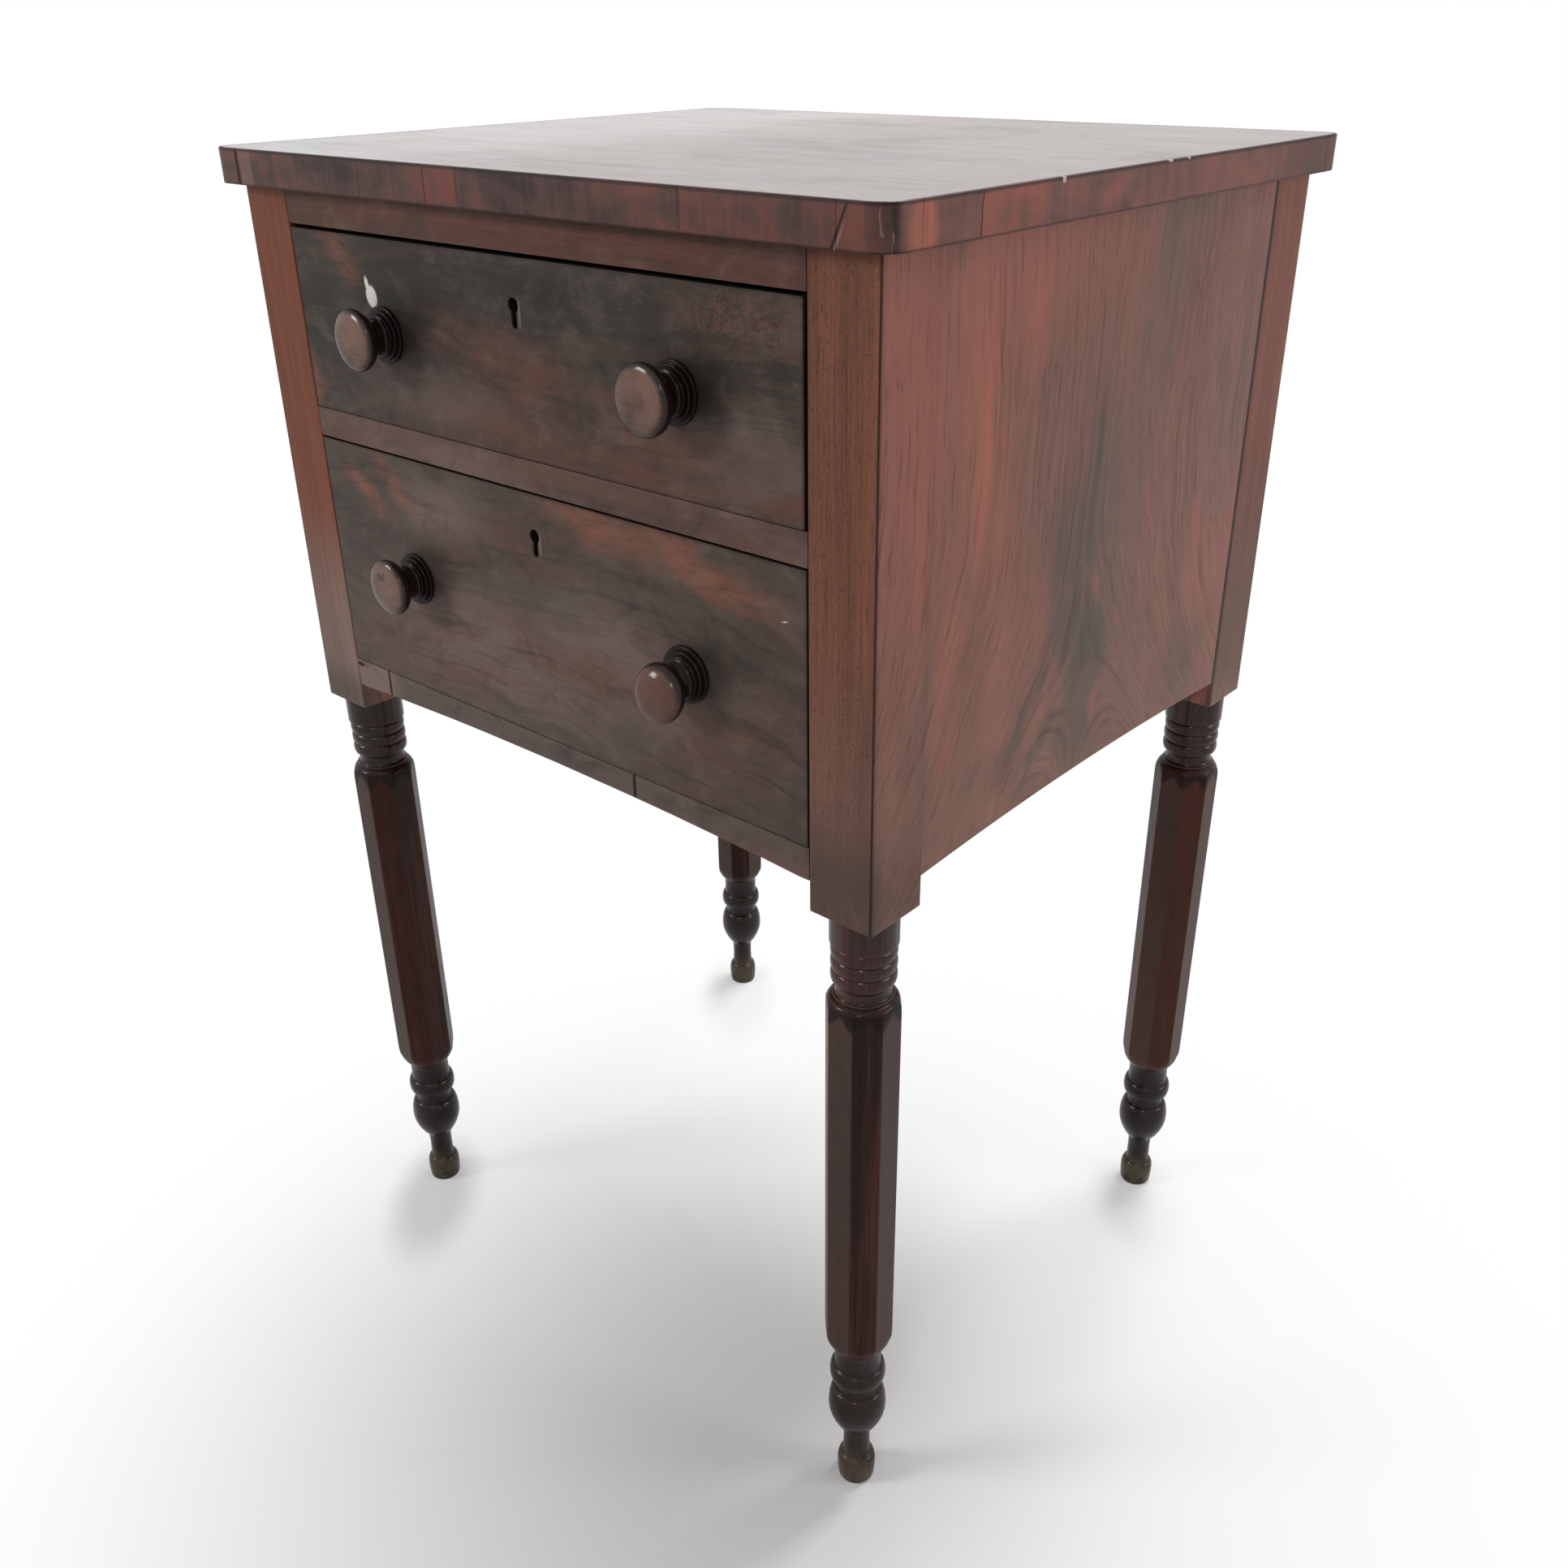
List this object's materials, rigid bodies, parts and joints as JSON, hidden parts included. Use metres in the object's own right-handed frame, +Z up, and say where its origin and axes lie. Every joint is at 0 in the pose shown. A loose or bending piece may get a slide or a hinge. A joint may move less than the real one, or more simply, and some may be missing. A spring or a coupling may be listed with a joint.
{
  "type": "work table",
  "caption": "Small square-post work table with a banded top, turned octagonal legs and stacked dovetailed drawers that slide out and lock.",
  "frame": {"origin": "on the floor, under the middle of the box that holds the table, knobs included", "axes": "+Z up, +X to the right seen from the front, -Y out of the drawer fronts"},
  "size_m": [0.46, 0.406, 0.72],
  "materials": {
    "top_mahogany": "polished old varnish",
    "edge_band": "satin varnish, cross-grained veneer",
    "leg_mahogany": "satin varnish, worn on the arrises",
    "case_mahogany": "satin varnish",
    "drawer_veneer": "polished flame veneer",
    "knob_mahogany": "polished by handling",
    "secondary_wood": "bare, planed",
    "lock_brass": "dull",
    "dark_iron": "darkened"
  },
  "bodies": {
    "case": {"top_board": "top_mahogany", "top_band_front": "edge_band", "top_band_back": "edge_band", "top_band_left": "edge_band", "top_band_right": "edge_band", "top_band_corner_front_left": "edge_band", "top_band_corner_front_right": "edge_band", "top_band_corner_rear_left": "edge_band", "top_band_corner_rear_right": "edge_band", "leg_front_left": "leg_mahogany", "leg_front_right": "leg_mahogany", "leg_rear_left": "leg_mahogany", "leg_rear_right": "leg_mahogany", "side_panel_left": "case_mahogany", "side_panel_right": "case_mahogany", "back_panel": "secondary_wood", "top_rail": "case_mahogany", "middle_rail": "case_mahogany", "bottom_rail": "case_mahogany", "kicker_left": "secondary_wood", "kicker_right": "secondary_wood", "upper_runner_left": "secondary_wood", "upper_runner_right": "secondary_wood", "lower_runner_left": "secondary_wood", "lower_runner_right": "secondary_wood", "upper_guide_left": "secondary_wood", "upper_guide_right": "secondary_wood", "lower_guide_left": "secondary_wood", "lower_guide_right": "secondary_wood", "upper_stop_left": "secondary_wood", "upper_stop_right": "secondary_wood", "lower_stop_left": "secondary_wood", "lower_stop_right": "secondary_wood", "top_screw_front_left": "dark_iron", "top_screw_front_right": "dark_iron", "top_screw_rear_left": "dark_iron", "top_screw_rear_right": "dark_iron"},
    "upper_drawer": {"upper_drawer_front": "drawer_veneer", "upper_drawer_side_left": "secondary_wood", "upper_drawer_side_right": "secondary_wood", "upper_drawer_back": "secondary_wood", "upper_drawer_bottom": "secondary_wood", "upper_knob_left": "knob_mahogany", "upper_knob_right": "knob_mahogany", "upper_lock_case": "lock_brass"},
    "lower_drawer": {"lower_drawer_front": "drawer_veneer", "lower_drawer_side_left": "secondary_wood", "lower_drawer_side_right": "secondary_wood", "lower_drawer_back": "secondary_wood", "lower_drawer_bottom": "secondary_wood", "lower_knob_left": "knob_mahogany", "lower_knob_right": "knob_mahogany", "lower_lock_case": "lock_brass"},
    "upper_bolt": {"upper_lock_bolt": "dark_iron"},
    "lower_bolt": {"lower_lock_bolt": "dark_iron"}
  },
  "joints": [
    {"name": "upper_drawer_slide", "type": "slide", "parent": "case", "child": "upper_drawer", "axis": [0, -1, 0], "range_m": [0, 0.26]},
    {"name": "lower_drawer_slide", "type": "slide", "parent": "case", "child": "lower_drawer", "axis": [0, -1, 0], "range_m": [0, 0.26]},
    {"name": "upper_bolt_slide", "type": "slide", "parent": "upper_drawer", "child": "upper_bolt", "axis": [0, 0, 1], "range_m": [0, 0.006]},
    {"name": "lower_bolt_slide", "type": "slide", "parent": "lower_drawer", "child": "lower_bolt", "axis": [0, 0, 1], "range_m": [0, 0.006]}
  ]
}
